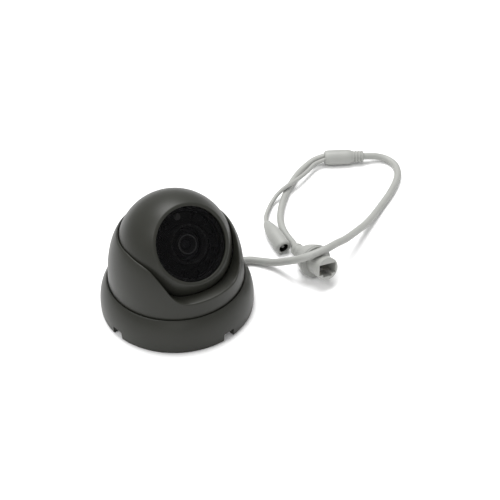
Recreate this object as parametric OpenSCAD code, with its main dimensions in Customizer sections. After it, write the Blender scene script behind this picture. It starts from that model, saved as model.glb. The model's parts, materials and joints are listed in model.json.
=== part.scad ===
// Turret-type dome CCTV camera with a fly lead, a splitter, a network socket and a power socket.
// Millimetres. Z = 0 is the mounting face, +Z points away from it, the lens looks towards -Y.

/* [Overall] */
// Largest outside diameter of the trim ring; the turret and the ball follow it
ring_d = 93; // [80:0.5:120]
// Height of the trim ring, up to the seam under the turret
ring_h = 21.1; // [18:0.1:25.3]
// Angle of the lens axis from straight out of the mounting face
lens_tilt = 54.4; // [0:0.1:75]

/* [Turret] */
// Height of the turret's mouth above the ball's centre
mouth_rise = 10.75; // [9:0.25:13]
// Height of the scoop's bottom above the seam
scoop_low = 10.1; // [9:0.1:12.2]
// Gap between the turret and the trim ring's lip at the seam
seam_gap = 0.5; // [0.3:0.05:0.8]
// Wall thickness of the turret
turret_wall = 2.4; // [2:0.1:3]
// Gap round the ball in the turret's mouth
mouth_gap = 0.5; // [0.2:0.05:0.8]
// Turn of the scoop past the lens heading
scoop_turn = 3.5; // [-10:0.5:10]
// Half width of the scoop's flat bottom
scoop_half = 14; // [10:0.5:16]
// Corner radius at the bottom of the scoop
scoop_corner = 11; // [8:0.5:12]
// Radius of the scoop's outward flare into the mouth
scoop_flare = 8; // [6:0.5:10]

/* [Ball] */
// Diameter of the dark window
window_d = 43; // [36:0.5:44]
// Thickness of the window
window_t = 2; // [1.5:0.1:2.5]
// Wall thickness of the ball's two shells
shell_t = 2.2; // [1.8:0.1:2.6]
// Number of infrared LEDs, on a circle that they share with the light sensor
led_count = 11; // [5:1:11]

/* [Mounting] */
// Pitch circle of the three mounting screws
mount_pcd = 64; // [50:1:68]
// Diameter of the mounting screw holes
mount_hole_d = 4.5; // [4:0.1:5]
// Width of the lead notches in the trim ring
notch_w = 7.6; // [6.5:0.1:10]

/* [Lead] */
// Diameter of the main lead
lead_d = 4.8; // [4:0.1:6]
// Diameter of the network tail
net_tail_d = 4.5; // [3.6:0.1:4.6]
// Diameter of the power tail
dc_tail_d = 2.8; // [2.2:0.1:3]

/* [Hidden] */
$fn = 64;
fn_big = 96;

// Head: trim ring, turret and ball
ring_r = ring_d / 2;
ring_bulge_z = 5;
ring_bulge_r = 10;
ring_bulge_past = 2.9;
ring_bulge_h = ring_h - ring_bulge_z + ring_bulge_past;
ring_centre_r = ring_r - ring_bulge_r;
ring_steps = 12;
lip_set_in = 5.3;
lip_r = ring_r - lip_set_in;
turret_r = lip_r - seam_gap;
lead_room = 4.5;
ball_r = turret_r - turret_wall - lead_room;
base_room = 9.45;
ball_z = ball_r + base_room;
mouth_z = ball_z + mouth_rise;
mouth_rim = 0.85;
mouth_r = sqrt(pow(ball_r + mouth_gap, 2) - pow(mouth_rise, 2)) + mouth_rim;
turret_round = 0.9167;
turret_steps = 11;
hollow_drop = 1.2;
scoop_z = ring_h + scoop_low;
flare_past = 2.6;
notch_h = lead_d + 0.5;

// Stack where the turret turns on the base
rim_z = 11.5;
slip_t = 0.85;
run_gap = 0.05;
flange_z = rim_z + slip_t + run_gap;
flange_t = 2.8;
flange_top = flange_z + flange_t;
flange_r = turret_r + 1.9;
ring_bore_r = flange_r + 0.3;
rim_r = ring_bore_r - 0.2;
rim_wall = 2.9;
cavity_r = turret_r - turret_wall;

// Bayonet that holds the trim ring
lug_count = 3;
lug_span = 14;
lug_low = 6;
lug_high = 9.2;
lug_r = rim_r + 1.1;
lug_groove_r = lug_r + 0.2;
lug_first = 54.8;
entry_first = 24.8;
entry_span = 17;

// Base plate, its gasket and the lead channel
lead_way = 9.8;
gasket_t = 1.2;
floor_top = 4;
hub_r = 12;
hub_wall = 2.5;
hub_top = 8;
boss_r = 5.5;
boss_top = 6;
channel_w = lead_d + 2.5;
channel_top = 7;
mount_r = mount_pcd / 2;
mount_count = 3;
mount_first = lead_way + 60;
rib_w = 1.6;
rib_top = 5.5;
gasket_in = 22;
gasket_out = min(mount_r + 5.5, rim_r - 3);

// Seat that holds the ball up into the mouth
seat_t = 6.4;
seat_room = 0.4;
seat_high = scoop_z - turret_wall - seat_room;
seat_low = seat_high - seat_t;
seat_out = cavity_r - 0.4;
pad_t = 1.3;
pad_gap = 0.03;
seat_slot_w = 12;
seat_screw_r = seat_out - 2;
seat_boss_r = seat_out - seat_screw_r + 1.2;
seat_boss_h = 4.5;
seat_screw_hole = 1.2;
seat_angles = [-15, 35, 145, 195];

// Ball, measured along the lens axis from its centre
window_r = window_d / 2;
rim_lip = 2;
front_z = sqrt(pow(ball_r, 2) - pow(window_r + rim_lip, 2));
window_sunk = 0.8;
window_fit = 0.2;
window_front = front_z - window_sunk;
window_back = window_front - window_t;
seal_t = 0.5;
ledge_front = window_back - seal_t;
ledge_back = ledge_front - 2.4;
ledge_r = window_r - 1.9;
rear_in = 7.8;
rear_z = rear_in - ball_r;
split_z = -16;
split_r = sqrt(pow(ball_r, 2) - pow(split_z, 2));
joint_wall = 5.3;
joint_half = 3;
joint_seal_in = split_r - 2.8;
joint_seal_out = split_r - 1.5;
joint_seal_half = 0.6;
screw_r = split_r - 7;
screw_boss = 3.4;
screw_head_z = split_z - 5;
front_boss_h = 11;
front_angles = [30, 150, 270];
chassis_angles = [90, 210, 330];
chassis_top = front_z - 14.8;
chassis_t = 1.5;
chassis_boss_r = 2.3;
chassis_screw_r = ledge_r + chassis_boss_r - 0.1;
chassis_r = min(chassis_screw_r + 2.4, split_r - joint_wall - 0.3);
led_back = front_z - 10.3;
led_t = 1.2;
led_board_r = ledge_r - 0.3;
led_circle = led_board_r - 2.5;
hood_in = 10.4;
hood_out = 11.4;
board_r = ball_r - 14.8;
board_t = 1.6;
sensor_z = -8;
main_z = -17.6;
post_angles = [45, 165, 285];
post_circle = 15.5;
led_post_circle = 13;
thread_gap = 0.05;
m2_r = 1;

// Gland and boot at the back of the ball
gland_r = 5;
gland_flange = 7;
gland_nut_r = 7.4;
gland_nut_t = 2.9;
boot_out = -(ball_r - 0.3);

// Lead route: exit through a notch, hump over the network socket, then round to the splitter
route_z = lead_d / 2 + 0.05;
bell_r = 10.6;
bell_rim = 1.2;
net_r = 7.3;
net_turn = -93;
net_pitch = 14.2;
net_roll = -8;
net_at = [84, -26.7, bell_r * cos(net_pitch) + bell_rim * sin(net_pitch) + 0.05];
hump_y = -31.7;
hump_z = net_at[2] + (net_at[1] - hump_y) * tan(net_pitch) + (net_r + lead_d / 2) / cos(net_pitch) + 0.2;
grommet_r = hub_r + 1;
out_r = ring_r + 1;
route = [
    [grommet_r * cos(lead_way), grommet_r * sin(lead_way), route_z],
    [(grommet_r + out_r) / 2 * cos(lead_way), (grommet_r + out_r) / 2 * sin(lead_way), route_z],
    [out_r * cos(lead_way), out_r * sin(lead_way), route_z],
    [ring_r + 8.8, 5.5, route_z],
    [60.8, 0.5, route_z + 0.15],
    [66, -7.6, 4.7],
    [69, -16, 10],
    [71.3, -24.5, 16.3],
    [75.1, -29.4, hump_z - 2],
    [81.5, hump_y, hump_z],
    [89.5, hump_y, hump_z],
    [98.7, -28.4, 19.5],
    [109.2, -23.9, 15.2],
    [122.9, -16.9, 10.2],
    [140.3, -7.9, 4.9],
    [158.6, 2.3, route_z],
    [175, 11.4, route_z],
    [187, 19.6, route_z],
    [195, 27.4, route_z],
    [199.2, 36, route_z],
    [198.4, 43.8, 2.9],
    [193.3, 49.4, 4]];
route_steps = 2;

// Splitter: its main end, its heading from +X and its height
splitter_r = 5.3;
split_at = [184.4, 53, splitter_r + 0.05];
split_turn = 150;
split_relief = 8.5;
split_len = 27.5;
relief_r = 4.2;
split_end_r = 4.6;
net_side = -1.7;
dc_side = 2.3;
split_dir = [cos(split_turn), sin(split_turn), 0];
split_left = [-sin(split_turn), cos(split_turn), 0];
split_end = split_at + split_len * split_dir;
lead_route = concat(route, [split_at]);

// Network socket: it leans on its bell's rim, whose centre is net_at, and on its relief
net_dir = [cos(net_turn) * cos(net_pitch), sin(net_turn) * cos(net_pitch), sin(net_pitch)];
net_nose = 13.8;
net_root = 4;
net_w = 11.7;
net_high = 6.8;
net_deep = 12.5;
contact_len = 5.5;
latch_w = 6.2;
latch_high = 1.6;
seal_step = 0.35;
net_seal_t = 1.5;
bell_len = 14;
relief_end_r = 4.2;
net_relief_len = 9;
net_end = net_at - (bell_len + net_relief_len) * net_dir;
net_route_z = net_tail_d / 2 + 0.05;
net_route = [
    split_end + net_side * split_left,
    [154, 69.6, 4.4],
    [146, 68.3, 3.2],
    [137, 65, net_route_z],
    [127, 58.8, net_route_z],
    [117, 51.2, net_route_z],
    [108, 43, net_route_z],
    [100, 34, net_route_z],
    [94.8, 26, net_route_z],
    [91.8, 19, net_route_z],
    [89.9, 11.5, net_route_z],
    [88.4, 3.5, 3.1],
    net_end];

// Power socket: its face, its heading from +X and its sizes
dc_r = 5;
dc_at = [79.1, 0, dc_r + 0.05];
dc_turn = -101;
dc_len = 28.3;
dc_bore_r = 2.75;
dc_liner = 0.45;
dc_deep = 10.2;
dc_lip = 1.2;
dc_pin_r = 1.05;
dc_dir = [cos(dc_turn), sin(dc_turn), 0];
dc_back = dc_at - dc_len * dc_dir;
dc_route = [
    split_end + dc_side * split_left,
    [151, 64.9, 4.9],
    [143, 61.5, 4.6],
    [134, 57.5, 5.2],
    [126, 54.6, 6],
    [118, 52.4, 6.4],
    [110, 50.6, 5],
    [102.5, 47.5, 2.4],
    [95, 41.5, 2.2],
    [88.6, 34.5, 4],
    dc_back];

// ---- Shared shapes ----

function ring_at(z) = ring_centre_r
    + ring_bulge_r * sqrt(1 - pow((z - ring_bulge_z) / ring_bulge_h, 2));
function round_off(u) = 1 - sqrt(1 - pow(u * turret_round, 2));
function turret_at(z) = turret_r
    - (turret_r - mouth_r) * round_off((z - ring_h) / (mouth_z - ring_h)) / round_off(1);
function arc(c, r, from, to, n) =
    [for (i = [0:n]) c + r * [cos(from + (to - from) * i / n), sin(from + (to - from) * i / n)]];

// Outline of the scoop seen from the front, grown outwards by g
function scoop_right(g) =
    let (a = [scoop_half, scoop_z + scoop_corner])
    let (b = [mouth_r + flare_past, mouth_z - scoop_flare])
    let (ra = scoop_corner, rb = scoop_flare)
    let (d = norm(b - a), lean = atan2(b[1] - a[1], b[0] - a[0]))
    let (t = lean - acos((ra + rb) / d))
    concat(arc(a, ra + g, -90, t, 8), arc(b, rb - g, 180 + t, 90, 6));
function scoop_outline(g) =
    let (right = scoop_right(g), n = len(right))
    concat([for (p = right) p],
        [[right[n - 1][0], mouth_z + 9], [-right[n - 1][0], mouth_z + 9]],
        [for (i = [n - 1:-1:0]) [-right[i][0], right[i][1]]]);

module ring_part(r_in, r_out, low, high) {
    translate([0, 0, low])
        difference() {
            cylinder(r = r_out, h = high - low, $fn = fn_big);
            translate([0, 0, -1])
                cylinder(r = r_in, h = high - low + 2, $fn = fn_big);
        }
}

module sector(r_in, r_out, low, high, span) {
    rotate([0, 0, -span / 2])
        rotate_extrude(angle = span, $fn = fn_big)
            polygon([[r_in, low], [r_out, low], [r_out, high], [r_in, high]]);
}

module way(width, low, high, from, to) {
    rotate([0, 0, lead_way])
        translate([from, -width / 2, low])
            cube([to - from, width, high - low]);
}

module lens_axis() {
    translate([0, 0, ball_z])
        rotate([lens_tilt, 0, 0])
            children();
}

module around(angles, r) {
    for (a = angles)
        rotate([0, 0, a])
            translate([r, 0, 0])
                children();
}

function spline(p, q, r, s, t) = 0.5 * (2 * q + (r - p) * t
    + (2 * p - 5 * q + 4 * r - s) * t * t + (3 * q - p - 3 * r + s) * t * t * t);
function smooth(k, n) = concat(
    [for (i = [0:len(k) - 2]) for (j = [0:n - 1])
        spline(k[max(i - 1, 0)], k[i], k[i + 1], k[min(i + 2, len(k) - 1)], j / n)],
    [k[len(k) - 1]]);
function unit(v) = v / norm(v);
function heading(c, i, first, last) =
    i == 0 ? first : i == len(c) - 1 ? last : unit(c[i + 1] - c[i - 1]);

// A round tube along a route; first and last are the directions of its two end faces
module tube(k, r, sides, first, last) {
    c = smooth(k, route_steps);
    n = len(c);
    points = [for (i = [0:n - 1])
        let (t = heading(c, i, first, last))
        let (s = unit(cross(t, [0, 0, 1])))
        let (u = cross(s, t))
        for (j = [0:sides - 1]) c[i] + r * (cos(360 * j / sides) * s + sin(360 * j / sides) * u)];
    walls = [for (i = [0:n - 2]) for (j = [0:sides - 1]) for (half = [0, 1])
        let (a = i * sides + j, b = i * sides + (j + 1) % sides)
        half == 0 ? [a, b, b + sides] : [a, b + sides, a + sides]];
    near = [for (j = [sides - 1:-1:0]) j];
    far = [for (j = [0:sides - 1]) (n - 1) * sides + j];
    polyhedron(points = points, faces = concat(walls, [near, far]));
}

// ---- Base ----

module base_gasket() {
    color([0.12, 0.12, 0.12])
        difference() {
            ring_part(gasket_in, gasket_out, 0, gasket_t);
            way(channel_w + 1.5, -1, gasket_t + 1, 0, ring_r);
            around([for (i = [0:mount_count - 1]) mount_first + i * 120], mount_r)
                translate([0, 0, -1])
                    cylinder(d = mount_hole_d + 1.6, h = gasket_t + 2);
        }
}

module base_plate() {
    color([0.72, 0.73, 0.74])
        difference() {
            union() {
                ring_part(hub_r, rim_r, gasket_t, floor_top);
                ring_part(rim_r - rim_wall, rim_r, gasket_t, rim_z);
                ring_part(hub_r, hub_r + hub_wall, gasket_t, hub_top);
                around([for (i = [0:mount_count - 1]) mount_first + i * 120], mount_r)
                    translate([0, 0, gasket_t])
                        cylinder(r = boss_r, h = boss_top - gasket_t);
                for (a = [-80, -50, 40, 100, 130, 160, 220, 250])
                    rotate([0, 0, lead_way + a])
                        translate([hub_r + 1, -rib_w / 2, gasket_t])
                            cube([rim_r - hub_r - 2, rib_w, rib_top - gasket_t]);
                for (i = [0:lug_count - 1])
                    rotate([0, 0, lug_first + i * 360 / lug_count])
                        sector(rim_r - 1, lug_r, lug_low, lug_high, lug_span);
            }
            way(channel_w, 0, channel_top, 0, ring_r);
            way(channel_w, 0, hub_top + 1, 0, hub_r + hub_wall + 1);
            around([for (i = [0:mount_count - 1]) mount_first + i * 120], mount_r)
                translate([0, 0, -1])
                    cylinder(d = mount_hole_d, h = boss_top + 2);
        }
}

module base_grommet() {
    color([0.1, 0.1, 0.1])
        rotate([0, 0, lead_way])
            difference() {
                translate([hub_r - 1, -channel_w / 2, 0])
                    cube([hub_wall + 2, channel_w, hub_top - 0.5]);
                translate([0, 0, route_z])
                    rotate([0, 90, 0])
                        cylinder(r = lead_d / 2 + 0.02, h = ring_r);
            }
}

module trim_ring() {
    color([0.27, 0.27, 0.25])
        difference() {
            rotate_extrude($fn = fn_big)
                polygon(concat(
                    [[ring_bore_r, 0]],
                    [for (i = [0:ring_steps])
                        let (z = ring_h * sin(90 * i / ring_steps))
                        [ring_at(z), z]],
                    [[lip_r, ring_h - 0.25], [lip_r, flange_top + 0.1],
                        [ring_bore_r, flange_top + 0.1]]));
            ring_part(ring_bore_r - 1, lug_groove_r, lug_low - 0.2, lug_high);
            for (i = [0:lug_count - 1])
                rotate([0, 0, entry_first + i * 360 / lug_count])
                    sector(ring_bore_r - 1, lug_r + 0.1, -1, lug_low + 0.5, entry_span);
            for (i = [0:3])
                rotate([0, 0, lead_way + i * 90])
                    translate([ring_r - 9, -notch_w / 2, -1])
                        cube([12, notch_w, notch_h + 1]);
        }
}

module slip_ring() {
    color([0.85, 0.85, 0.82])
        ring_part(rim_r - rim_wall, rim_r - 0.3, rim_z, rim_z + slip_t);
}

// ---- Turret ----

module turret_solid(skin) {
    rotate_extrude($fn = fn_big)
        polygon(concat(
            [[0, ring_h], [turret_at(ring_h) - skin, ring_h]],
            [for (i = [1:turret_steps])
                let (z = ring_h + (mouth_z - ring_h) * sin(90 * i / turret_steps))
                [turret_at(z) - skin, z]],
            [[0, mouth_z]]));
}

module turret_hollow() {
    top = ball_z - hollow_drop;
    intersection() {
        turret_solid(turret_wall);
        translate([0, 0, ring_h - 1])
            cylinder(r = ring_r, h = top - ring_h + 1, $fn = fn_big);
    }
}

module scoop(grow, behind) {
    translate([0, behind, 0])
        rotate([90, 0, 0])
            linear_extrude(height = ring_r + 4 + behind)
                polygon(scoop_outline(grow));
}

module turret_shell() {
    color([0.29, 0.29, 0.27])
        rotate([0, 0, scoop_turn])
            difference() {
                union() {
                    difference() {
                        turret_solid(0);
                        turret_hollow();
                    }
                    intersection() {
                        turret_solid(0);
                        scoop(turret_wall, 0);
                    }
                    ring_part(cavity_r, turret_r, flange_z, ring_h + 0.5);
                    ring_part(cavity_r, flange_r, flange_z, flange_top);
                    around(seat_angles, seat_screw_r)
                        translate([0, 0, seat_high])
                            cylinder(r = seat_boss_r, h = seat_boss_h);
                }
                scoop(0, 0);
                translate([0, 0, ball_z])
                    sphere(r = ball_r + mouth_gap, $fn = fn_big);
                around(seat_angles, seat_screw_r)
                    translate([0, 0, seat_high - 1])
                        cylinder(r = m2_r + thread_gap, h = seat_boss_h);
            }
}

module seat_cut() {
    translate([-seat_slot_w / 2, 0, seat_low - 1])
        cube([seat_slot_w, ring_r, seat_high - seat_low + 2]);
}

module ball_seat() {
    color([0.55, 0.56, 0.57])
        rotate([0, 0, scoop_turn])
            difference() {
                translate([0, 0, seat_low])
                    cylinder(r = seat_out, h = seat_t, $fn = fn_big);
                translate([0, 0, ball_z])
                    sphere(r = ball_r + pad_t, $fn = fn_big);
                seat_cut();
                around(seat_angles, seat_screw_r)
                    translate([0, 0, seat_low - 1])
                        cylinder(r = seat_screw_hole, h = seat_high - seat_low + 2);
            }
}

module seat_screws() {
    color([0.75, 0.75, 0.76])
        rotate([0, 0, scoop_turn])
            around(seat_angles, seat_screw_r) {
                translate([0, 0, seat_low - 1.6])
                    cylinder(r = 1.9, h = 1.6);
                translate([0, 0, seat_low - 0.5])
                    cylinder(r = m2_r, h = seat_high - seat_low + 0.5 + seat_boss_h - 1.4);
            }
}

module friction_pad() {
    color([0.15, 0.15, 0.15])
        rotate([0, 0, scoop_turn])
            difference() {
                intersection() {
                    translate([0, 0, ball_z])
                        sphere(r = ball_r + pad_t, $fn = fn_big);
                    translate([0, 0, seat_low])
                        cylinder(r = seat_out, h = seat_t, $fn = fn_big);
                }
                translate([0, 0, ball_z])
                    sphere(r = ball_r + pad_gap, $fn = fn_big);
                seat_cut();
            }
}

// ---- Lead end that tilts with the ball ----

module inner_boot() {
    low = boot_out;
    high = rear_z - gland_nut_t - 0.1;
    color([0.14, 0.14, 0.14])
        lens_axis()
            difference() {
                rotate_extrude()
                    polygon([[lead_d / 2 + 0.01, low], [lead_d / 2 + 0.9, low],
                        [lead_d / 2 + 1.2, low + 0.6], [lead_d / 2 + 2, high - 0.6],
                        [lead_d / 2 + 2, high], [lead_d / 2 + 0.01, high]]);
            }
}

module inner_lead() {
    color([0.74, 0.74, 0.72])
        lens_axis()
            translate([0, 0, boot_out])
                cylinder(d = lead_d, h = rear_z - gland_nut_t - 0.1 - boot_out);
}

// ---- Ball ----

module slab(low, high) {
    translate([0, 0, low])
        cylinder(r = ball_r + 5, h = high - low);
}

module ball_front() {
    color([0.29, 0.29, 0.27])
        lens_axis()
            difference() {
                union() {
                    difference() {
                        intersection() {
                            sphere(r = ball_r, $fn = fn_big);
                            slab(split_z, front_z);
                        }
                        intersection() {
                            sphere(r = ball_r - shell_t, $fn = fn_big);
                            slab(split_z - 1, ledge_back);
                        }
                    }
                    intersection() {
                        sphere(r = ball_r - 0.5, $fn = fn_big);
                        union() {
                            ring_part(split_r - joint_wall, split_r,
                                split_z, split_z + joint_half);
                            around(front_angles, screw_r)
                                translate([0, 0, split_z])
                                    cylinder(r = screw_boss, h = front_boss_h);
                        }
                    }
                    around(chassis_angles, chassis_screw_r)
                        translate([0, 0, chassis_top])
                            cylinder(r = chassis_boss_r, h = ledge_back + 0.5 - chassis_top);
                }
                translate([0, 0, ledge_front])
                    cylinder(r = window_r + window_fit, h = ball_r);
                translate([0, 0, 0])
                    cylinder(r = ledge_r, h = ball_r);
                ring_part(joint_seal_in, joint_seal_out, split_z - 1, split_z + joint_seal_half);
                around(front_angles, screw_r)
                    translate([0, 0, split_z - 1])
                        cylinder(r = m2_r + thread_gap, h = 8);
                around(chassis_angles, chassis_screw_r)
                    translate([0, 0, chassis_top - 1])
                        cylinder(r = m2_r + thread_gap, h = 6);
            }
}

module ball_rear() {
    color([0.29, 0.29, 0.27])
        lens_axis()
            difference() {
                union() {
                    difference() {
                        intersection() {
                            sphere(r = ball_r, $fn = fn_big);
                            slab(rear_z, split_z);
                        }
                        intersection() {
                            sphere(r = ball_r - shell_t, $fn = fn_big);
                            slab(rear_z + shell_t, split_z + 1);
                        }
                    }
                    intersection() {
                        sphere(r = ball_r - 0.5, $fn = fn_big);
                        union() {
                            ring_part(split_r - joint_wall, split_r,
                                split_z - joint_half, split_z);
                            around(front_angles, screw_r)
                                translate([0, 0, rear_z])
                                    rotate([0, 0, 180])
                                        cylinder(r = screw_boss, h = split_z - rear_z);
                        }
                    }
                }
                translate([0, 0, rear_z - 1])
                    cylinder(r = gland_r + 0.1, h = shell_t + 2);
                ring_part(joint_seal_in, joint_seal_out, split_z - joint_seal_half, split_z + 1);
                around(front_angles, screw_r) {
                    translate([0, 0, rear_z - 9])
                        cylinder(r = 2.2, h = screw_head_z - rear_z + 9);
                    translate([0, 0, screw_head_z - 1])
                        cylinder(r = seat_screw_hole, h = split_z - screw_head_z + 2);
                }
            }
}

module ball_seal() {
    color([0.08, 0.08, 0.08])
        lens_axis()
            ring_part(joint_seal_in, joint_seal_out,
                split_z - joint_seal_half, split_z + joint_seal_half);
}

module ball_screws() {
    color([0.7, 0.7, 0.72])
        lens_axis()
            around(front_angles, screw_r) {
                translate([0, 0, screw_head_z - 1.6])
                    cylinder(r = 1.9, h = 1.6);
                translate([0, 0, screw_head_z - 0.5])
                    cylinder(r = m2_r, h = split_z - screw_head_z + 6.5);
            }
}

module window() {
    color([0.05, 0.05, 0.055, 0.6])
        lens_axis()
            translate([0, 0, window_back])
                cylinder(r = window_r, h = window_t, $fn = fn_big);
}

module window_seal() {
    color([0.06, 0.06, 0.06])
        lens_axis()
            ring_part(ledge_r + 0.2, window_r, ledge_front, window_back);
}

// ---- Behind the window ----

module lens_hood() {
    color([0.09, 0.09, 0.09])
        lens_axis()
            ring_part(hood_in, hood_out, led_back + led_t, window_back);
}

module led_board() {
    color([0.06, 0.07, 0.06])
        lens_axis()
            difference() {
                ring_part(9, led_board_r, led_back, led_back + led_t);
                around(post_angles, led_post_circle)
                    translate([0, 0, led_back - 1])
                        cylinder(r = m2_r, h = 4);
            }
}

module led_mask() {
    color([0.11, 0.11, 0.11])
        lens_axis()
            difference() {
                ring_part(led_circle - 2.6, led_board_r, led_back + led_t, led_back + led_t + 2.4);
                around([for (i = [0:led_count]) 90 + i * 360 / (led_count + 1)], led_circle)
                    translate([0, 0, led_back])
                        cylinder(r = 2.1, h = 6);
            }
}

module leds() {
    color([0.75, 0.74, 0.66])
        lens_axis()
            around([for (i = [1:led_count]) 90 + i * 360 / (led_count + 1)], led_circle)
                translate([0, 0, led_back + led_t]) {
                    cylinder(r = 1.7, h = 0.8);
                    cylinder(r1 = 1.4, r2 = 0.8, h = 1.6);
                }
}

module light_sensor() {
    color([0.5, 0.5, 0.48])
        lens_axis()
            rotate([0, 0, 90])
                translate([led_circle, 0, led_back + led_t]) {
                    cylinder(r = 1.95, h = 2.6);
                    cylinder(r = 1.5, h = 3.2);
                }
}

module chassis() {
    color([0.6, 0.61, 0.62])
        lens_axis()
            difference() {
                translate([0, 0, chassis_top - chassis_t])
                    cylinder(r = chassis_r, h = chassis_t, $fn = fn_big);
                translate([0, 0, chassis_top - chassis_t - 1])
                    cylinder(r = 8.6, h = chassis_t + 2);
                around(front_angles, screw_r + 1)
                    translate([0, 0, chassis_top - chassis_t - 1])
                        cylinder(r = screw_boss + 1.4, h = chassis_t + 2);
                around(chassis_angles, chassis_screw_r)
                    translate([0, 0, chassis_top - chassis_t - 1])
                        cylinder(r = seat_screw_hole, h = chassis_t + 2);
            }
}

module chassis_screws() {
    low = chassis_top - chassis_t;
    color([0.7, 0.7, 0.72])
        lens_axis()
            around(chassis_angles, chassis_screw_r) {
                translate([0, 0, low - 1.5])
                    cylinder(r = 1.9, h = 1.5);
                translate([0, 0, low - 0.5])
                    cylinder(r = m2_r, h = chassis_t + 4.5);
            }
}

module led_posts() {
    color([0.72, 0.66, 0.42])
        lens_axis()
            around(post_angles, led_post_circle) {
                translate([0, 0, chassis_top])
                    cylinder(r = 1.7, h = led_back - chassis_top);
                translate([0, 0, led_back - 0.5])
                    cylinder(r = m2_r - thread_gap, h = led_t + 1.2);
            }
}

module lens_barrel() {
    front = window_back - 3;
    color([0.07, 0.07, 0.07])
        lens_axis()
            rotate_extrude()
                polygon([[0, -1], [5.9, -1], [5.9, chassis_top + 2.2], [6.8, chassis_top + 2.2],
                    [6.8, front], [5.2, front], [3.4, front - 2.4], [0, front - 2.4]]);
}

module lens_ring() {
    color([0.4, 0.4, 0.4])
        lens_axis()
            ring_part(5.1, 5.7, window_back - 3, window_back - 2.4);
}

module lens_glass() {
    front = window_back - 5.4;
    bulge = 5;
    color([0.1, 0.1, 0.16, 0.5])
        lens_axis()
            intersection() {
                translate([0, 0, front + 1.3 - bulge])
                    sphere(r = bulge);
                translate([0, 0, front])
                    cylinder(r = 3.3, h = 3);
            }
}

module lens_holder() {
    color([0.13, 0.13, 0.13])
        lens_axis()
            ring_part(5.95, 7.6, sensor_z + 6, sensor_z + 13);
}

module ircut_unit() {
    color([0.16, 0.16, 0.16])
        lens_axis()
            difference() {
                translate([-11, -9, sensor_z])
                    cube([22, 18, 6]);
                translate([0, 0, sensor_z - 1])
                    cylinder(r = 4, h = 9);
                translate([-5.5, -4.5, sensor_z - 1])
                    cube([11, 9, 3.2]);
            }
}

module image_sensor() {
    color([0.2, 0.25, 0.3])
        lens_axis()
            translate([-4.2, -3.4, sensor_z])
                cube([8.4, 6.8, 1.4]);
}

module round_board(low) {
    difference() {
        translate([0, 0, low])
            cylinder(r = board_r, h = board_t, $fn = fn_big);
        around(post_angles, post_circle)
            translate([0, 0, low - 1])
                cylinder(r = m2_r + thread_gap, h = board_t + 2);
    }
}

module sensor_board() {
    color([0.08, 0.3, 0.16])
        lens_axis()
            round_board(sensor_z - board_t);
}

module sensor_posts() {
    color([0.72, 0.66, 0.42])
        lens_axis()
            around(post_angles, post_circle)
                translate([0, 0, sensor_z])
                    cylinder(r = 1.9, h = chassis_top - chassis_t - sensor_z);
}

module main_board() {
    color([0.08, 0.3, 0.16])
        lens_axis()
            round_board(main_z - board_t);
}

module board_parts() {
    color([0.1, 0.1, 0.11])
        lens_axis() {
            translate([-6, -6, main_z])
                cube([12, 12, 1.5]);
            translate([-12.3, -5, main_z])
                cube([5, 7, 3]);
            translate([8.5, -4, main_z])
                cube([5, 8, 2.2]);
            translate([-4, 8, main_z])
                cube([8, 4.5, 3.5]);
        }
}

module rear_posts() {
    color([0.72, 0.66, 0.42])
        lens_axis()
            around(post_angles, post_circle) {
                difference() {
                    translate([0, 0, main_z])
                        cylinder(r = 2.2, h = sensor_z - board_t - main_z);
                    translate([0, 0, main_z - 1])
                        cylinder(r = m2_r + thread_gap, h = 5);
                }
                translate([0, 0, sensor_z - board_t - 0.5])
                    cylinder(r = m2_r, h = board_t + 0.5);
            }
}

module board_screws() {
    color([0.7, 0.7, 0.72])
        lens_axis()
            around(post_angles, post_circle) {
                translate([0, 0, main_z - board_t - 1.4])
                    cylinder(r = 1.9, h = 1.4);
                translate([0, 0, main_z - board_t - 0.5])
                    cylinder(r = m2_r, h = board_t + 4);
            }
}

module gland_body() {
    color([0.2, 0.2, 0.2])
        lens_axis()
            difference() {
                union() {
                    translate([0, 0, rear_z - gland_nut_t])
                        cylinder(r = gland_r, h = gland_nut_t + shell_t + 0.5);
                    translate([0, 0, rear_z + shell_t])
                        cylinder(r = gland_flange, h = 1.5);
                }
                translate([0, 0, rear_z - gland_nut_t - 1])
                    cylinder(d = lead_d, h = 14);
            }
}

module gland_nut() {
    color([0.22, 0.22, 0.22])
        lens_axis()
            difference() {
                translate([0, 0, rear_z - gland_nut_t])
                    cylinder(r = gland_nut_r, h = gland_nut_t, $fn = 6);
                translate([0, 0, rear_z - gland_nut_t - 1])
                    cylinder(r = gland_r + thread_gap, h = gland_nut_t + 2);
            }
}

module gland_lead() {
    low = rear_z - gland_nut_t;
    color([0.74, 0.74, 0.72])
        lens_axis()
            translate([0, 0, low])
                cylinder(d = lead_d - 0.02, h = main_z - board_t - low);
}

// ---- Lead, splitter and sockets ----

module lead() {
    color([0.74, 0.75, 0.72])
        tube(lead_route, lead_d / 2, 10, [cos(lead_way), sin(lead_way), 0], split_dir);
}

module splitter() {
    color([0.74, 0.75, 0.72])
        translate(split_at)
            rotate([0, 0, split_turn])
                rotate([0, 90, 0])
                    rotate_extrude()
                        polygon(concat(
                            [[0, 0], [relief_r - 0.5, 0], [relief_r, 0.6]],
                            [for (i = [0:2]) for (p = [[0, 1.6], [-0.7, 1.7], [-0.7, 2.4], [0, 2.5]])
                                [relief_r + p[0], p[1] + i * 2.1]],
                            [[relief_r, split_relief - 0.6], [splitter_r - 0.7, split_relief],
                                [splitter_r, split_relief + 2.5], [splitter_r, split_len - 2.5],
                                [split_end_r, split_len], [0, split_len]]));
}

module net_tail() {
    color([0.74, 0.75, 0.72])
        tube(net_route, net_tail_d / 2, 10, split_dir, net_dir);
}

module along_net() {
    translate(net_at)
        rotate([90 - net_pitch, 0, net_turn + 90])
            rotate([0, 0, net_roll])
                children();
}

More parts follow.
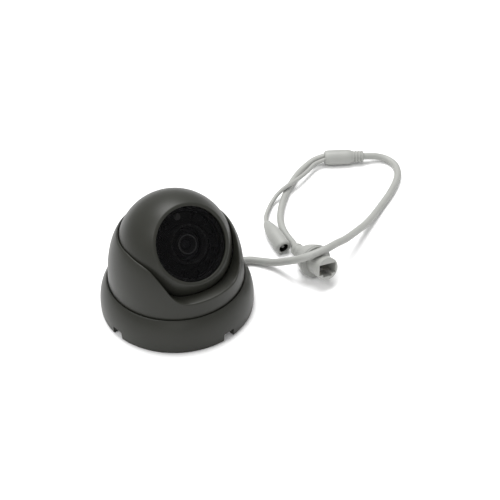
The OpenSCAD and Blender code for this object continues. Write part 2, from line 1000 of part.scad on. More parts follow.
module net_relief() {
    back = -bell_len - net_relief_len;
    color([0.72, 0.73, 0.7])
        along_net()
            rotate_extrude()
                polygon([[0, back], [3.3, back], [relief_end_r, back + 0.8],
                    [relief_end_r, back + 2.8], [3.6, back + 3.2], [3.6, back + 3.9],
                    [relief_end_r, back + 4.3], [relief_end_r, -bell_len - 1.6],
                    [4, -bell_len], [0, -bell_len]]);
}

module net_bell() {
    color([0.72, 0.73, 0.7])
        along_net()
            rotate_extrude()
                polygon([[0, -bell_len], [bell_r - 5.7, -bell_len], [bell_r - 4.4, -12.5],
                    [bell_r - 2.7, -9.5], [bell_r - 1.4, -6], [bell_r - 0.5, -3],
                    [bell_r, -bell_rim], [bell_r, -0.5], [bell_r - 0.5, 0],
                    [net_r, 0], [net_r, -net_root], [0, -net_root]]);
}

module net_seal() {
    color([0.62, 0.63, 0.6])
        along_net()
            rotate_extrude()
                polygon([[net_r, 0], [bell_r - 1.1, 0], [bell_r - 1.1, seal_step],
                    [bell_r - 0.3, seal_step], [bell_r - 0.3, net_seal_t - 0.3],
                    [bell_r - 0.6, net_seal_t], [net_r, net_seal_t]]);
}

module net_socket() {
    floor_z = net_nose - net_deep;
    color([0.76, 0.77, 0.74])
        along_net()
            difference() {
                translate([0, 0, -net_root])
                    cylinder(r = net_r, h = net_root + net_nose);
                translate([-net_w / 2, -net_high / 2, floor_z])
                    cube([net_w, net_high, net_deep + 1]);
                translate([-latch_w / 2, -net_high / 2 - latch_high, floor_z + 3])
                    cube([latch_w, latch_high + 1, net_deep]);
            }
}

module net_contacts() {
    color([0.85, 0.7, 0.3])
        along_net()
            for (i = [0:7])
                translate([-3.75 + i * 1.02, net_high / 2 - 1.3, net_nose - net_deep])
                    cube([0.45, 1.3, contact_len]);
}

module dc_tail() {
    color([0.74, 0.75, 0.72])
        tube(dc_route, dc_tail_d / 2, 8, split_dir, dc_dir);
}

module along_dc() {
    translate(dc_at)
        rotate([0, 0, dc_turn])
            rotate([0, 90, 0])
                children();
}

module dc_body() {
    bore = dc_bore_r + dc_liner;
    color([0.74, 0.75, 0.72])
        along_dc()
            rotate_extrude()
                polygon([[0, -dc_len], [2.1, -dc_len], [2.6, -dc_len + 0.8],
                    [dc_r - 1.6, -dc_len + 4], [dc_r - 0.7, -dc_len + 8],
                    [dc_r, -dc_len + 14], [dc_r, -1.2], [dc_r - 0.9, 0],
                    [bore, 0], [bore, -dc_deep], [0, -dc_deep]]);
}

module dc_liner_sleeve() {
    color([0.05, 0.05, 0.05])
        along_dc()
            difference() {
                translate([0, 0, -dc_deep])
                    cylinder(r = dc_bore_r + dc_liner, h = dc_deep - dc_lip);
                translate([0, 0, -dc_deep + 0.8])
                    cylinder(r = dc_bore_r, h = dc_deep);
            }
}

module dc_pin() {
    color([0.8, 0.8, 0.8])
        along_dc()
            translate([0, 0, -dc_deep + 0.8])
                cylinder(r = dc_pin_r, h = dc_deep - dc_lip - 1.6);
}

base_gasket();
base_plate();
base_grommet();
trim_ring();
slip_ring();
turret_shell();
ball_seat();
seat_screws();
friction_pad();
inner_boot();
inner_lead();
ball_front();
ball_rear();
ball_seal();
ball_screws();
window();
window_seal();
lens_hood();
led_mask();
led_board();
leds();
light_sensor();
chassis();
chassis_screws();
led_posts();
lens_ring();
lens_glass();
lens_barrel();
lens_holder();
ircut_unit();
image_sensor();
sensor_board();
sensor_posts();
main_board();
board_parts();
rear_posts();
board_screws();
gland_body();
gland_nut();
gland_lead();
lead();
splitter();
net_tail();
net_relief();
net_bell();
net_seal();
net_socket();
net_contacts();
dc_tail();
dc_body();
dc_liner_sleeve();
dc_pin();
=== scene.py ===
import json
import math

import bmesh
import bpy
from mathutils import Matrix, Vector


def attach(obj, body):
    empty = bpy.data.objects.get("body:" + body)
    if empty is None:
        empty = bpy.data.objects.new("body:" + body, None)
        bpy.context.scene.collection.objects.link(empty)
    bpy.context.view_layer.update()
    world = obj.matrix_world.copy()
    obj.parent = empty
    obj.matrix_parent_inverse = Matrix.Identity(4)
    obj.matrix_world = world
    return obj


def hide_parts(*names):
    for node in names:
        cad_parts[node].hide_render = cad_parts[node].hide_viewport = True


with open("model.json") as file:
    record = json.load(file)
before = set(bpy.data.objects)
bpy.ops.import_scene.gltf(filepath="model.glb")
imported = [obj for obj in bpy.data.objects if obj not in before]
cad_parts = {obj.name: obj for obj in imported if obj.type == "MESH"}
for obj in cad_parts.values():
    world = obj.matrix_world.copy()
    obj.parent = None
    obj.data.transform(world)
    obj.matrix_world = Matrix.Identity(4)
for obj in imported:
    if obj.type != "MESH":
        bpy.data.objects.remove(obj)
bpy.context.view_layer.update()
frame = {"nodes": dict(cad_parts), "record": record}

MM = 0.001

# ---------------------------------------------------------------- sizes, in mm and degrees, as in the CAD
RING_R, RING_H = 46.5, 21.1
LIP_R, TURRET_R = 41.2, 40.7
RING_BORE, FLANGE_R, FLANGE_LOW, FLANGE_TOP = 42.9, 42.6, 12.4, 15.2
BALL_R, BALL_Z = 33.8, 43.25
GAP_R = BALL_R + 0.5
MOUTH_RISE = 10.75
MOUTH_Z = BALL_Z + MOUTH_RISE
MOUTH_R = math.sqrt(GAP_R ** 2 - MOUTH_RISE ** 2) + 0.85
TURRET_WALL = 2.4
TILT, SCOOP_TURN = 54.4, 3.5
SCOOP_Z, SCOOP_HALF, SCOOP_CORNER, SCOOP_FLARE, FLARE_PAST = 31.2, 14, 11, 8, 2.6
WINDOW_R, FRONT_R = 21.5, 23.5
FRONT_Z = math.sqrt(BALL_R ** 2 - FRONT_R ** 2)
WINDOW_FRONT = FRONT_Z - 0.8
WINDOW_BACK = WINDOW_FRONT - 2
SPLIT_Z, REAR_Z = -16, 7.8 - BALL_R
LEAD_WAY, NOTCH_W, NOTCH_H = 9.8, 7.6, 5.5
LEAD_D, NET_D, DC_D = 4.8, 4.5, 2.8
SPLIT_R, SPLIT_TURN, SPLIT_LEN = 5.3, 150, 27.5
SPLIT_AT = Vector((184.4, 53, SPLIT_R + 0.05))
BELL_R, BELL_RIM, SOCKET_R = 10.6, 1.2, 7.3
NET_TURN, NET_PITCH, NET_ROLL, NET_BACK = -93, 14.2, -8, 23
DC_AT, DC_TURN, DC_LEN = Vector((79.1, 0, 5.05)), -101, 28.3

# ---------------------------------------------------------------- camera, first of all
camera = bpy.data.objects.new("camera", bpy.data.cameras.new("camera"))
bpy.context.scene.collection.objects.link(camera)
camera.data.sensor_width = 36
camera.data.lens = 82.6
camera.data.clip_start = 0.01
camera.location = (-0.2533, -0.4593, 0.4667)
camera.rotation_euler = Vector((0.4296, 0.6442, -0.6328)).to_track_quat("-Z", "Y").to_euler()
bpy.context.scene.camera = camera
bpy.context.scene.view_settings.view_transform = "Standard"


# ---------------------------------------------------------------- materials
def material(name, colour, rough, metal=0.0, vary=0.05, vary_scale=60.0, grain=900.0,
             grain_depth=0.00002, rough_vary=0.05, coat=0.0, sheen=0.0, alpha=1.0, spec=0.5):
    """A procedural surface: slow colour drift, fine grain in the bump and a little change in gloss."""
    m = bpy.data.materials.new(name)
    m.use_nodes = True
    t = m.node_tree
    b = t.nodes["Principled BSDF"]
    where = t.nodes.new("ShaderNodeTexCoord")
    drift = t.nodes.new("ShaderNodeTexNoise")
    drift.inputs["Scale"].default_value = vary_scale
    drift.inputs["Detail"].default_value = 4
    t.links.new(where.outputs["Object"], drift.inputs["Vector"])
    ramp = t.nodes.new("ShaderNodeValToRGB")
    ramp.color_ramp.elements[0].position = 0.3
    ramp.color_ramp.elements[1].position = 0.7
    ramp.color_ramp.elements[0].color = [c * (1 - vary) for c in colour] + [1]
    ramp.color_ramp.elements[1].color = [min(1, c * (1 + vary)) for c in colour] + [1]
    t.links.new(drift.outputs["Fac"], ramp.inputs["Fac"])
    t.links.new(ramp.outputs["Color"], b.inputs["Base Color"])
    fine = t.nodes.new("ShaderNodeTexNoise")
    fine.inputs["Scale"].default_value = grain
    fine.inputs["Detail"].default_value = 3
    t.links.new(where.outputs["Object"], fine.inputs["Vector"])
    bump = t.nodes.new("ShaderNodeBump")
    bump.inputs["Strength"].default_value = 0.6
    bump.inputs["Distance"].default_value = grain_depth
    t.links.new(fine.outputs["Fac"], bump.inputs["Height"])
    t.links.new(bump.outputs["Normal"], b.inputs["Normal"])
    span = t.nodes.new("ShaderNodeMapRange")
    span.inputs["To Min"].default_value = max(0.02, rough - rough_vary)
    span.inputs["To Max"].default_value = min(1, rough + rough_vary)
    t.links.new(fine.outputs["Fac"], span.inputs["Value"])
    t.links.new(span.outputs["Result"], b.inputs["Roughness"])
    b.inputs["Metallic"].default_value = metal
    b.inputs["Coat Weight"].default_value = coat
    b.inputs["Sheen Weight"].default_value = sheen
    b.inputs["IOR"].default_value = 1.5
    b.inputs["Alpha"].default_value = alpha
    b.inputs["Specular IOR Level"].default_value = spec
    return m


PAINT = material("satin_graphite_paint", (0.0195, 0.02, 0.016), 0.4, vary=0.08, vary_scale=45,
                 grain=2600, grain_depth=0.00001, rough_vary=0.05, spec=0.26)
JACKET = material("cable_jacket_light_grey", (0.30, 0.304, 0.288), 0.5, vary=0.04, vary_scale=90,
                  grain=1500, grain_depth=0.00001)
BELL = material("moulded_light_grey", (0.29, 0.294, 0.278), 0.45, vary=0.04, vary_scale=110,
                grain=2200, grain_depth=0.000008)
SOCKET = material("socket_housing_grey", (0.31, 0.314, 0.296), 0.4, vary=0.03, vary_scale=120,
                  grain=2400, grain_depth=0.000006)
DIECAST = material("diecast_aluminium", (0.62, 0.63, 0.64), 0.45, metal=0.9, vary=0.06,
                   vary_scale=70, grain=1800, grain_depth=0.00002)
STEEL = material("zinc_plated_steel", (0.66, 0.66, 0.68), 0.3, metal=1.0, vary=0.05)
BRASS = material("brass_posts", (0.72, 0.55, 0.25), 0.32, metal=1.0, vary=0.05)
GOLD = material("gold_contacts", (0.85, 0.62, 0.22), 0.22, metal=1.0, vary=0.03)
CHROME = material("nickel_pin", (0.8, 0.8, 0.8), 0.16, metal=1.0, vary=0.02)
RUBBER = material("black_rubber", (0.018, 0.018, 0.018), 0.62, vary=0.1, grain=1300, sheen=0.1)
BLACK = material("matt_black_plastic", (0.02, 0.02, 0.021), 0.5, vary=0.08, grain=2400)
GLOSS = material("gloss_black_plastic", (0.01, 0.01, 0.01), 0.16, vary=0.05, coat=0.3)
BOARD = material("board_green", (0.02, 0.12, 0.055), 0.35, vary=0.12, vary_scale=420, coat=0.3)
BOARD_BLACK = material("board_black", (0.014, 0.016, 0.014), 0.35, vary=0.15, vary_scale=420, coat=0.3)
CHIP = material("chip_black", (0.025, 0.025, 0.027), 0.45, vary=0.08)
LED = material("led_lens", (0.16, 0.16, 0.15), 0.12, vary=0.1, coat=0.5)
ACETAL = material("white_acetal", (0.75, 0.75, 0.72), 0.35, vary=0.03)
SEAL = material("grey_seal", (0.27, 0.274, 0.26), 0.6, vary=0.08, grain=1300)
LENS_RING = material("lens_ring_anodised", (0.19, 0.19, 0.19), 0.34, metal=0.7, vary=0.05)
BARREL = material("lens_barrel_black", (0.012, 0.012, 0.013), 0.42, vary=0.08, grain=2600)
WINDOW = material("dark_window", (0.0025, 0.0025, 0.0028), 0.12, vary=0.05, grain=40,
                  grain_depth=0.0000005, rough_vary=0.01, alpha=0.52, spec=0.08)
OPTIC = material("lens_glass", (0.012, 0.010, 0.022), 0.08, vary=0.05, grain=40,
                 grain_depth=0.0000005, rough_vary=0.01, coat=0.4)
INNER = material("inner_black_plastic", (0.012, 0.012, 0.0125), 0.5, vary=0.08, grain=2400, spec=0.3)
INNER_RING = material("inner_ring_grey", (0.32, 0.32, 0.32), 0.42, metal=0.3, vary=0.05, grain=2400)
INNER_LED = material("inner_led_lens", (0.02, 0.02, 0.02), 0.3, vary=0.1, spec=0.3)
SENSOR_LENS = material("light_sensor_lens", (0.32, 0.32, 0.31), 0.3, vary=0.1, spec=0.4)
HOOD = material("hood_black_rubber", (0.045, 0.045, 0.045), 0.5, vary=0.08, grain=2400)
PIN = material("pin_in_shade", (0.16, 0.16, 0.155), 0.38, metal=0.6, vary=0.05)

BY_SLOT = {
    "shell_paint": PAINT, "diecast": DIECAST, "steel": STEEL, "brass": BRASS,
    "black_rubber": RUBBER, "dark_window": WINDOW, "lens_glass": OPTIC,
    "black_plastic": BLACK, "black_gloss": GLOSS, "board_green": BOARD,
    "board_black": BOARD_BLACK, "led_clear": LED, "chip_black": CHIP,
    "white_acetal": ACETAL, "lens_ring_grey": LENS_RING, "lead_jacket": JACKET,
    "socket_plastic": SOCKET, "bell_plastic": BELL, "contact_gold": GOLD,
    "pin_chrome": CHROME, "seal_grey": SEAL}


# ---------------------------------------------------------------- mesh helpers
def finish_mesh(name, bm, mat, sharp=35):
    bmesh.ops.remove_doubles(bm, verts=bm.verts, dist=1e-7)
    bmesh.ops.recalc_face_normals(bm, faces=bm.faces)
    mesh = bpy.data.meshes.new(name)
    bm.to_mesh(mesh)
    bm.free()
    mesh.shade_smooth()
    if sharp:
        mesh.set_sharp_from_angle(angle=math.radians(sharp))
    mesh.materials.append(mat)
    obj = bpy.data.objects.new(name, mesh)
    bpy.context.scene.collection.objects.link(obj)
    return obj


def grid(name, rings, mat, closed_along=True, caps=False, sharp=35):
    """Skins a row of rings, which close on themselves and have one number of points; closed_along joins
    the last ring to the first, and caps closes the two ends."""
    bm = bmesh.new()
    rows = [[bm.verts.new(p) for p in ring] for ring in rings]
    n = len(rings[0])
    last = len(rows) if closed_along else len(rows) - 1
    for i in range(last):
        a, b = rows[i], rows[(i + 1) % len(rows)]
        for j in range(n):
            bm.faces.new((a[j], a[(j + 1) % n], b[(j + 1) % n], b[j]))
    if caps:
        bm.faces.new(rows[0])
        bm.faces.new(rows[-1])
    return finish_mesh(name, bm, mat, sharp)


def bezier(a, c, b, n=6):
    return [((1 - t) ** 2 * a[0] + 2 * t * (1 - t) * c[0] + t * t * b[0],
             (1 - t) ** 2 * a[1] + 2 * t * (1 - t) * c[1] + t * t * b[1])
            for t in [i / n for i in range(n + 1)]]


def rounded(points, radius, n=5):
    """A closed outline with each corner rounded; a point may carry its own size as a third number."""
    out = []
    for i, p in enumerate(points):
        a, b = points[i - 1], points[(i + 1) % len(points)]
        size = p[2] if len(p) > 2 else radius
        da, db = math.dist(p[:2], a[:2]), math.dist(p[:2], b[:2])
        if size <= 0 or da < 1e-6 or db < 1e-6:
            out.append((p[0], p[1]))
            continue
        ta, tb = min(size, da * 0.45), min(size, db * 0.45)
        start = (p[0] + (a[0] - p[0]) * ta / da, p[1] + (a[1] - p[1]) * ta / da)
        end = (p[0] + (b[0] - p[0]) * tb / db, p[1] + (b[1] - p[1]) * tb / db)
        out += bezier(start, p, end, n)
    return out


def revolve(name, outline, place, mat, n=192, sharp=35):
    """Turns a closed (radius, height) outline, in mm, about local Z; place takes it into the row frame."""
    rings = []
    for k in range(n):
        a = 2 * math.pi * k / n
        rings.append([place @ Vector((max(r, 0) * math.cos(a) * MM, max(r, 0) * math.sin(a) * MM, z * MM))
                      for r, z in outline])
    bm = bmesh.new()
    cols = [[bm.verts.new(p) for p in ring] for ring in rings]
    m = len(outline)
    for k in range(n):
        a, b = cols[k], cols[(k + 1) % n]
        for j in range(m):
            j2 = (j + 1) % m
            if outline[j][0] <= 0 and outline[j2][0] <= 0:
                continue
            bm.faces.new((a[j], a[j2], b[j2], b[j]))
    return finish_mesh(name, bm, mat, sharp)


def at(x, y, z):
    return Matrix.Translation(Vector((x, y, z)) * MM)


LENS = at(0, 0, BALL_Z) @ Matrix.Rotation(math.radians(TILT), 4, "X")
UPRIGHT = Matrix.Identity(4)


# ---------------------------------------------------------------- cords
def spline(p, q, r, s, t):
    return 0.5 * (2 * q + (r - p) * t + (2 * p - 5 * q + 4 * r - s) * t * t
                  + (3 * q - p - 3 * r + s) * t ** 3)


def smooth_route(k, n):
    k = [Vector(p) for p in k]
    out = []
    for i in range(len(k) - 1):
        for j in range(n):
            out.append(spline(k[max(i - 1, 0)], k[i], k[i + 1], k[min(i + 2, len(k) - 1)], j / n))
    return out + [k[-1]]


def laid(line, diameter):
    """Keeps a route's centre line from dipping below what the cord lies on."""
    return [Vector((p.x, p.y, max(p.z, diameter / 2 + 0.03))) for p in line]


def polar(r, deg, z):
    return (r * math.cos(math.radians(deg)), r * math.sin(math.radians(deg)), z)


def tube(name, route, diameter, first, last, mat, sides=24, steps=10):
    line = laid(smooth_route(route, steps), diameter)
    rings = []
    for i, c in enumerate(line):
        if i == 0:
            d = Vector(first)
        elif i == len(line) - 1:
            d = Vector(last)
        else:
            d = line[i + 1] - line[i - 1]
        d.normalize()
        side = d.cross(Vector((0, 0, 1))).normalized()
        up = side.cross(d)
        rings.append([(c + diameter / 2 * (math.cos(a) * side + math.sin(a) * up)) * MM
                      for a in [2 * math.pi * j / sides for j in range(sides)]])
    obj = grid(name, rings, mat, closed_along=False, caps=True, sharp=50)
    return obj, [list(p * MM) for p in line]


ROUTE_Z = LEAD_D / 2 + 0.05
NET_ROUTE_Z = NET_D / 2 + 0.05
lean = math.radians(NET_PITCH)
NET_AT = Vector((84, -26.7, BELL_R * math.cos(lean) + BELL_RIM * math.sin(lean) + 0.05))
HUMP_Y = -31.7
HUMP_Z = NET_AT.z + (NET_AT.y - HUMP_Y) * math.tan(lean) + (SOCKET_R + LEAD_D / 2) / math.cos(lean) + 0.2
split_dir = Vector(polar(1, SPLIT_TURN, 0))
split_left = Vector((-split_dir.y, split_dir.x, 0))
split_end = SPLIT_AT + SPLIT_LEN * split_dir
net_dir = Vector(polar(math.cos(lean), NET_TURN, math.sin(lean)))
net_end = NET_AT - NET_BACK * net_dir
dc_dir = Vector(polar(1, DC_TURN, 0))
dc_back = DC_AT - DC_LEN * dc_dir

lead_route = [
    polar(13, LEAD_WAY, ROUTE_Z), polar((13 + RING_R + 1) / 2, LEAD_WAY, ROUTE_Z),
    polar(RING_R + 1, LEAD_WAY, ROUTE_Z), (RING_R + 8.8, 5.5, ROUTE_Z), (60.8, 0.5, ROUTE_Z + 0.15),
    (66, -7.6, 4.7), (69, -16, 10), (71.3, -24.5, 16.3), (75.1, -29.4, HUMP_Z - 2),
    (81.5, HUMP_Y, HUMP_Z), (89.5, HUMP_Y, HUMP_Z), (98.7, -28.4, 19.5), (109.2, -23.9, 15.2),
    (122.9, -16.9, 10.2), (140.3, -7.9, 4.9), (158.6, 2.3, ROUTE_Z), (175, 11.4, ROUTE_Z),
    (187, 19.6, ROUTE_Z), (195, 27.4, ROUTE_Z), (199.2, 36, ROUTE_Z), (198.4, 43.8, 2.9),
    (193.3, 49.4, 4), SPLIT_AT]
net_route = [
    split_end - 1.7 * split_left, (154, 69.6, 4.4), (146, 68.3, 3.2), (137, 65, NET_ROUTE_Z),
    (127, 58.8, NET_ROUTE_Z), (117, 51.2, NET_ROUTE_Z), (108, 43, NET_ROUTE_Z), (100, 34, NET_ROUTE_Z),
    (94.8, 26, NET_ROUTE_Z), (91.8, 19, NET_ROUTE_Z), (89.9, 11.5, NET_ROUTE_Z), (88.4, 3.5, 3.1), net_end]
dc_route = [
    split_end + 2.3 * split_left, (151, 64.9, 4.9), (143, 61.5, 4.6), (134, 57.5, 5.2), (126, 54.6, 6),
    (118, 52.4, 6.4), (110, 50.6, 5), (102.5, 47.5, 2.4), (95, 41.5, 2.2), (88.6, 34.5, 4), dc_back]

lead, lead_line = tube("main_lead", lead_route, LEAD_D, polar(1, LEAD_WAY, 0), split_dir, JACKET)
net_tail, net_line = tube("network_tail", net_route, NET_D, split_dir, net_dir, JACKET)
dc_tail, dc_line = tube("power_tail", dc_route, DC_D, split_dir, dc_dir, JACKET, sides=18)

# ---------------------------------------------------------------- splitter and the two sockets
along_split = Matrix.Translation(SPLIT_AT * MM) @ Matrix.Rotation(math.radians(SPLIT_TURN), 4, "Z") \
    @ Matrix.Rotation(math.radians(90), 4, "Y")
split_outline = [(0, 0, 0), (3.4, 0, 0.3), (4.2, 0.7, 0.4)]
for i in range(3):
    z = 1.7 + i * 2.1
    split_outline += [(4.2, z, 0.3), (3.5, z + 0.15, 0.2), (3.5, z + 0.75, 0.2), (4.2, z + 0.9, 0.3)]
split_outline += [(4.2, 7.9, 0.3), (4.6, 8.5, 0.6), (SPLIT_R, 11, 1.6), (SPLIT_R, SPLIT_LEN - 2.5, 1.4),
                  (4.6, SPLIT_LEN, 0.6), (0, SPLIT_LEN, 0)]
splitter = revolve("splitter_body", rounded(split_outline, 0.3), along_split, JACKET, n=96, sharp=50)

along_net = Matrix.Translation(NET_AT * MM) @ Matrix.Rotation(math.radians(NET_TURN + 90), 4, "Z") \
    @ Matrix.Rotation(math.radians(90 - NET_PITCH), 4, "X") @ Matrix.Rotation(math.radians(NET_ROLL), 4, "Z")
relief = revolve("network_relief", rounded(
    [(0, -NET_BACK, 0), (3.3, -NET_BACK, 0.4), (4.2, -22.2, 0.6), (4.2, -20.2, 0.5), (3.6, -19.8, 0.3),
     (3.6, -19.1, 0.3), (4.2, -18.7, 0.4), (4.2, -15.6, 0.6), (4, -14, 0), (0, -14, 0)], 0.3),
    along_net, BELL, n=96, sharp=50)
bell = revolve("network_bell", rounded(
    [(0, -14, 0), (4.9, -14, 0.6), (6.2, -12.5, 1.2), (7.9, -9.5, 2), (9.2, -6, 2), (10.1, -3, 1.5),
     (BELL_R, -BELL_RIM, 0.6), (BELL_R, -0.5, 0.3), (10.1, 0, 0.3), (SOCKET_R, 0, 0), (SOCKET_R, -4, 0),
     (0, -4, 0)], 0.4),
    along_net, BELL, n=128, sharp=50)

along_dc = Matrix.Translation(DC_AT * MM) @ Matrix.Rotation(math.radians(DC_TURN), 4, "Z") \
    @ Matrix.Rotation(math.radians(90), 4, "Y")
dc_body = revolve("power_socket_body", rounded(
    [(0, -DC_LEN, 0), (2.1, -DC_LEN, 0.2), (2.6, -27.5, 0.5), (3.4, -24.3, 2), (4.3, -20.3, 2.5),
     (5, -14.3, 3), (5, -1.2, 0.6), (4.1, 0, 0.5), (3.2, 0, 0.15), (3.2, -10.2, 0), (0, -10.2, 0)], 0.3),
    along_dc, JACKET, n=96, sharp=50)


# ---------------------------------------------------------------- trim ring
def ring_at(z):
    return RING_R - 10 + 10 * math.sqrt(1 - ((z - 5) / (RING_H - 5 + 2.9)) ** 2)


side_wall = [(ring_at(z), z)
             for z in [0.5 + (RING_H - 0.9) * math.sin(math.pi / 2 * i / 28) for i in range(29)]]
ring_outline = [(RING_BORE, 0)]
ring_outline += bezier((ring_at(0) - 0.7, 0), (ring_at(0), 0), side_wall[0], 4) + side_wall[1:]
ring_outline += bezier(side_wall[-1], (ring_at(RING_H) + 0.05, RING_H), (LIP_R + 0.18, RING_H), 5)[1:]
ring_outline += bezier((LIP_R + 0.18, RING_H), (LIP_R, RING_H), (LIP_R, RING_H - 0.3), 4)[1:]
ring_outline += [(LIP_R, FLANGE_TOP + 0.1), (RING_BORE, FLANGE_TOP + 0.1), (RING_BORE, 5.8)]
ring = revolve("trim_ring_skin", ring_outline, UPRIGHT, PAINT, n=288, sharp=40)

bm = bmesh.new()
for i in range(4):
    a = math.radians(LEAD_WAY + 90 * i)
    turn = Matrix.Rotation(a, 4, "Z")
    made = bmesh.ops.create_cube(bm, size=1)["verts"]
    size = Matrix.Diagonal((12 * MM, NOTCH_W * MM, (NOTCH_H + 2) * MM, 1))
    bmesh.ops.transform(bm, verts=made, matrix=turn @ at(RING_R - 1, 0, NOTCH_H / 2 - 1) @ size)
up = [e for e in bm.edges if abs((e.verts[0].co - e.verts[1].co).z) < 1e-6
      and min(v.co.z for v in e.verts) > 0.003]
bmesh.ops.bevel(bm, geom=up, offset=0.7 * MM, segments=4, affect="EDGES", profile=0.5)
cutter = finish_mesh("notch_cutter", bm, PAINT, sharp=0)
cut = ring.modifiers.new("notches", "BOOLEAN")
cut.object = cutter
cut.operation = "DIFFERENCE"
cut.solver = "EXACT"
bpy.context.view_layer.update()
done = bpy.data.meshes.new_from_object(ring.evaluated_get(bpy.context.evaluated_depsgraph_get()))
ring.modifiers.clear()
ring.data = done
done.shade_smooth()
done.set_sharp_from_angle(angle=math.radians(35))
bpy.data.objects.remove(cutter)


# ---------------------------------------------------------------- turret
def round_off(u):
    return 1 - math.sqrt(1 - (u * 0.9167) ** 2)


def turret_at(z):
    u = max(0.0, (z - RING_H) / (MOUTH_Z - RING_H))
    return TURRET_R - (TURRET_R - MOUTH_R) * round_off(u) / round_off(1)


A_C = (SCOOP_HALF, SCOOP_Z + SCOOP_CORNER)
B_C = (MOUTH_R + FLARE_PAST, MOUTH_Z - SCOOP_FLARE)
LEAN = math.atan2(B_C[1] - A_C[1], B_C[0] - A_C[0])
T_A = LEAN - math.acos((SCOOP_CORNER + SCOOP_FLARE) / math.dist(A_C, B_C))
END_A = (A_C[0] + SCOOP_CORNER * math.cos(T_A), A_C[1] + SCOOP_CORNER * math.sin(T_A))
START_B = (B_C[0] - SCOOP_FLARE * math.cos(T_A), B_C[1] - SCOOP_FLARE * math.sin(T_A))


def scoop_height(x):
    x = abs(x)
    if x <= A_C[0]:
        return SCOOP_Z
    if x <= END_A[0]:
        return A_C[1] - math.sqrt(max(0, SCOOP_CORNER ** 2 - (x - A_C[0]) ** 2))
    if x <= START_B[0]:
        return END_A[1] + (x - END_A[0]) * (START_B[1] - END_A[1]) / (START_B[0] - END_A[0])
    if x < B_C[0]:
        return B_C[1] + math.sqrt(max(0, SCOOP_FLARE ** 2 - (x - B_C[0]) ** 2))
    return MOUTH_Z


def ease(t):
    t = min(1.0, max(0.0, t))
    return t * t * (3 - 2 * t)


def top_at(rho, alpha):
    """Height of the scoop's surface, or of the mouth, at a radius and an angle from the scoop's heading."""
    if math.cos(alpha) <= 0:
        return MOUTH_Z
    z = scoop_height(rho * math.sin(alpha))
    return z + (MOUTH_Z - z) * ease((abs(math.degrees(alpha)) - 72) / 18)


def column(alpha):
    low, high = RING_H + 2, MOUTH_Z
    for _ in range(40):
        mid = (low + high) / 2
        if mid < top_at(turret_at(mid), alpha):
            low = mid
        else:
            high = mid
    lip_z = (low + high) / 2
    lip_r = turret_at(lip_z)

    def outside(rho):
        return rho ** 2 + (top_at(rho, alpha) - BALL_Z) ** 2 > GAP_R ** 2

    a, b = lip_r, lip_r
    while outside(b) and b > 20:
        a, b = b, b - 0.25
    for _ in range(30):
        mid = (a + b) / 2
        if outside(mid):
            a = mid
        else:
            b = mid
    gap_r = (a + b) / 2
    gap_z = top_at(gap_r, alpha)

    def sphere_at(z):
        return math.sqrt(max(1.0, GAP_R ** 2 - (z - BALL_Z) ** 2))

    wide = lip_r - gap_r
    soft = min(0.95, 0.42 * wide)
    edge = min(0.45, 0.3 * wide)
    out = [(TURRET_R, FLANGE_TOP + (RING_H - FLANGE_TOP) * i / 3) for i in range(4)]
    wall_top = lip_z - 0.95
    out += [(turret_at(z), z) for z in [RING_H + (wall_top - RING_H) * i / 26 for i in range(1, 27)]]
    start = out.pop()
    ledge_in = lip_r - soft
    out += bezier(start, (lip_r, lip_z), (ledge_in, top_at(ledge_in, alpha)), 8)
    ledge_out = gap_r + edge
    for i in range(1, 8):
        rho = ledge_in + (ledge_out - ledge_in) * i / 8
        out.append((rho, top_at(rho, alpha)))
    out += bezier((ledge_out, top_at(ledge_out, alpha)), (gap_r, gap_z),
                  (sphere_at(gap_z - edge), gap_z - edge), 4)
    inner_top = min(BALL_Z - 1.2, gap_z - 2.4)
    for i in range(1, 7):
        z = gap_z - edge + (inner_top - gap_z + edge) * i / 6
        out.append((sphere_at(z), z))
    out.append((turret_at(inner_top) - TURRET_WALL, inner_top))
    for i in range(1, 7):
        z = inner_top + (FLANGE_LOW - inner_top) * i / 6
        out.append((turret_at(z) - TURRET_WALL, z))
    out += [(FLANGE_R, FLANGE_LOW), (FLANGE_R, FLANGE_TOP)]
    return out


COLUMNS = 720
rings = []
for k in range(COLUMNS):
    alpha = 2 * math.pi * k / COLUMNS - math.pi
    heading = math.radians(-90 + SCOOP_TURN) + alpha
    rings.append([Vector((r * math.cos(heading), r * math.sin(heading), z)) * MM
                  for r, z in column(alpha)])
turret = grid("turret_skin", rings, PAINT, sharp=50)

# ---------------------------------------------------------------- ball
first = math.degrees(math.asin((FRONT_R + 0.45) / BALL_R))
split_angle = math.degrees(math.acos(SPLIT_Z / BALL_R))
front_arc = [(BALL_R * math.sin(math.radians(d)), BALL_R * math.cos(math.radians(d)))
             for d in [first + (split_angle - first) * i / 64 for i in range(65)]]
front_outline = bezier((FRONT_R - 0.75, FRONT_Z), (FRONT_R - 0.02, FRONT_Z), front_arc[0], 6)
front_outline += front_arc[1:]
front_outline += [(26.5, SPLIT_Z), (28.7, -13.2)]
front_outline += [(31.6 * math.sin(math.radians(d)), 31.6 * math.cos(math.radians(d)))
                  for d in [112 - (112 - 54) * i / 12 for i in range(13)]]
front_outline += [(19.8, WINDOW_BACK - 2.9), (19.8, WINDOW_BACK - 0.5), (WINDOW_R + 0.2, WINDOW_BACK - 0.5)]
front_outline += bezier((WINDOW_R + 0.2, FRONT_Z - 0.55), (WINDOW_R + 0.2, FRONT_Z),
                        (WINDOW_R + 0.7, FRONT_Z), 6)
ball_front = revolve("ball_front_skin", front_outline, LENS, PAINT, n=256, sharp=40)

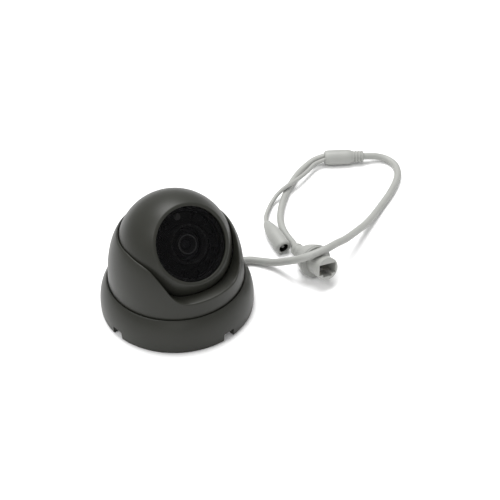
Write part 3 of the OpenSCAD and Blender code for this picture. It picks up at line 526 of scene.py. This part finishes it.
rear_first = math.degrees(math.acos((SPLIT_Z - 0.08) / BALL_R))
rear_last = math.degrees(math.acos(REAR_Z / BALL_R)) - 0.6
rear_arc = [(BALL_R * math.sin(math.radians(d)), BALL_R * math.cos(math.radians(d)))
            for d in [rear_first + (rear_last - rear_first) * i / 24 for i in range(25)]]
rear_flat = math.sqrt(BALL_R ** 2 - REAR_Z ** 2)
rear_outline = rear_arc + bezier(rear_arc[-1], (rear_flat, REAR_Z), (rear_flat - 0.6, REAR_Z), 4)[1:]
rear_outline += [(5.1, REAR_Z), (5.1, REAR_Z + 2.2), (20, REAR_Z + 2.2), (24.6, -20), (24.6, SPLIT_Z - 0.08)]
ball_rear = revolve("ball_rear_skin", rear_outline, LENS, PAINT, n=192, sharp=40)

window = revolve("window_pane", rounded(
    [(0, WINDOW_BACK, 0), (WINDOW_R, WINDOW_BACK, 0.15), (WINDOW_R, WINDOW_FRONT, 0.35),
     (0, WINDOW_FRONT, 0)],
    0.2, 4), LENS, WINDOW, n=160, sharp=40)

# ---------------------------------------------------------------- ride, replace and finish
for piece, body, node, slot in (
        (lead, "base", "lead", "lead_jacket"), (net_tail, "base", "net_tail", "lead_jacket"),
        (dc_tail, "base", "dc_tail", "lead_jacket"), (splitter, "base", "splitter", "lead_jacket"),
        (relief, "base", "net_relief", "bell_plastic"), (bell, "base", "net_bell", "bell_plastic"),
        (dc_body, "base", "dc_body", "lead_jacket"), (ring, "base", "trim_ring", "shell_paint"),
        (turret, "turret", "turret_shell", "shell_paint"),
        (ball_front, "ball", "ball_front", "shell_paint"),
        (ball_rear, "ball", "ball_rear", "shell_paint"), (window, "ball", "window", "dark_window")):
    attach(piece, body)
    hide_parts(node)

nodes = frame["nodes"]

slots = {s["node"]: s["material_slot"] for s in frame["record"]["subparts"]}
special = {"lens_barrel": BARREL, "lens_hood": HOOD, "led_mask": INNER, "led_posts": INNER,
           "led_board": INNER, "lens_ring": INNER_RING, "leds": INNER_LED, "light_sensor": SENSOR_LENS,
           "dc_pin": PIN}
for name, obj in nodes.items():
    m = special.get(name) or BY_SLOT[slots[name]]
    for s in obj.material_slots:
        s.material = m
for name, width in (("net_socket", 0.25), ("net_seal", 0.2), ("base_grommet", 0.3), ("gland_nut", 0.3),
                    ("board_parts", 0.15), ("led_mask", 0.15), ("lens_barrel", 0.2), ("lens_ring", 0.15),
                    ("lens_hood", 0.1), ("light_sensor", 0.15), ("base_plate", 0.2)):
    b = nodes[name].modifiers.new("edge", "BEVEL")
    b.width = width * MM
    b.segments = 3
    b.limit_method = "ANGLE"
    b.angle_limit = math.radians(40)

# ---------------------------------------------------------------- stage
mesh = bpy.data.meshes.new("floor")
mesh.from_pydata([(-9, -9, 0), (9, -9, 0), (9, 9, 0), (-9, 9, 0)], [], [(0, 1, 2, 3)])
mesh.materials.append(material("pale_floor", (0.97, 0.97, 0.97), 0.75, vary=0.005, grain=300))
floor = bpy.data.objects.new("floor", mesh)
floor.location.z = -0.0002
bpy.context.scene.collection.objects.link(floor)

world = bpy.data.worlds.new("studio")
bpy.context.scene.world = world
world.use_nodes = True
world.node_tree.nodes["Background"].inputs["Color"].default_value = (1, 1, 1, 1)
world.node_tree.nodes["Background"].inputs["Strength"].default_value = 0.6


def softbox(name, place, aim, size, watts):
    light = bpy.data.lights.new(name, "AREA")
    light.shape = "DISK"
    light.size = size
    light.energy = watts
    obj = bpy.data.objects.new(name, light)
    obj.location = place
    obj.rotation_euler = (Vector(aim) - Vector(place)).to_track_quat("-Z", "Y").to_euler()
    bpy.context.scene.collection.objects.link(obj)


softbox("key", (-0.8, -0.1, 1.2), (0, 0, 0.04), 0.7, 5.5)
softbox("front_fill", (-0.7, -1.1, 0.5), (0, 0, 0.03), 0.8, 2)
softbox("top", (0.15, 0.45, 1.4), (0.05, 0, 0), 1.0, 23)
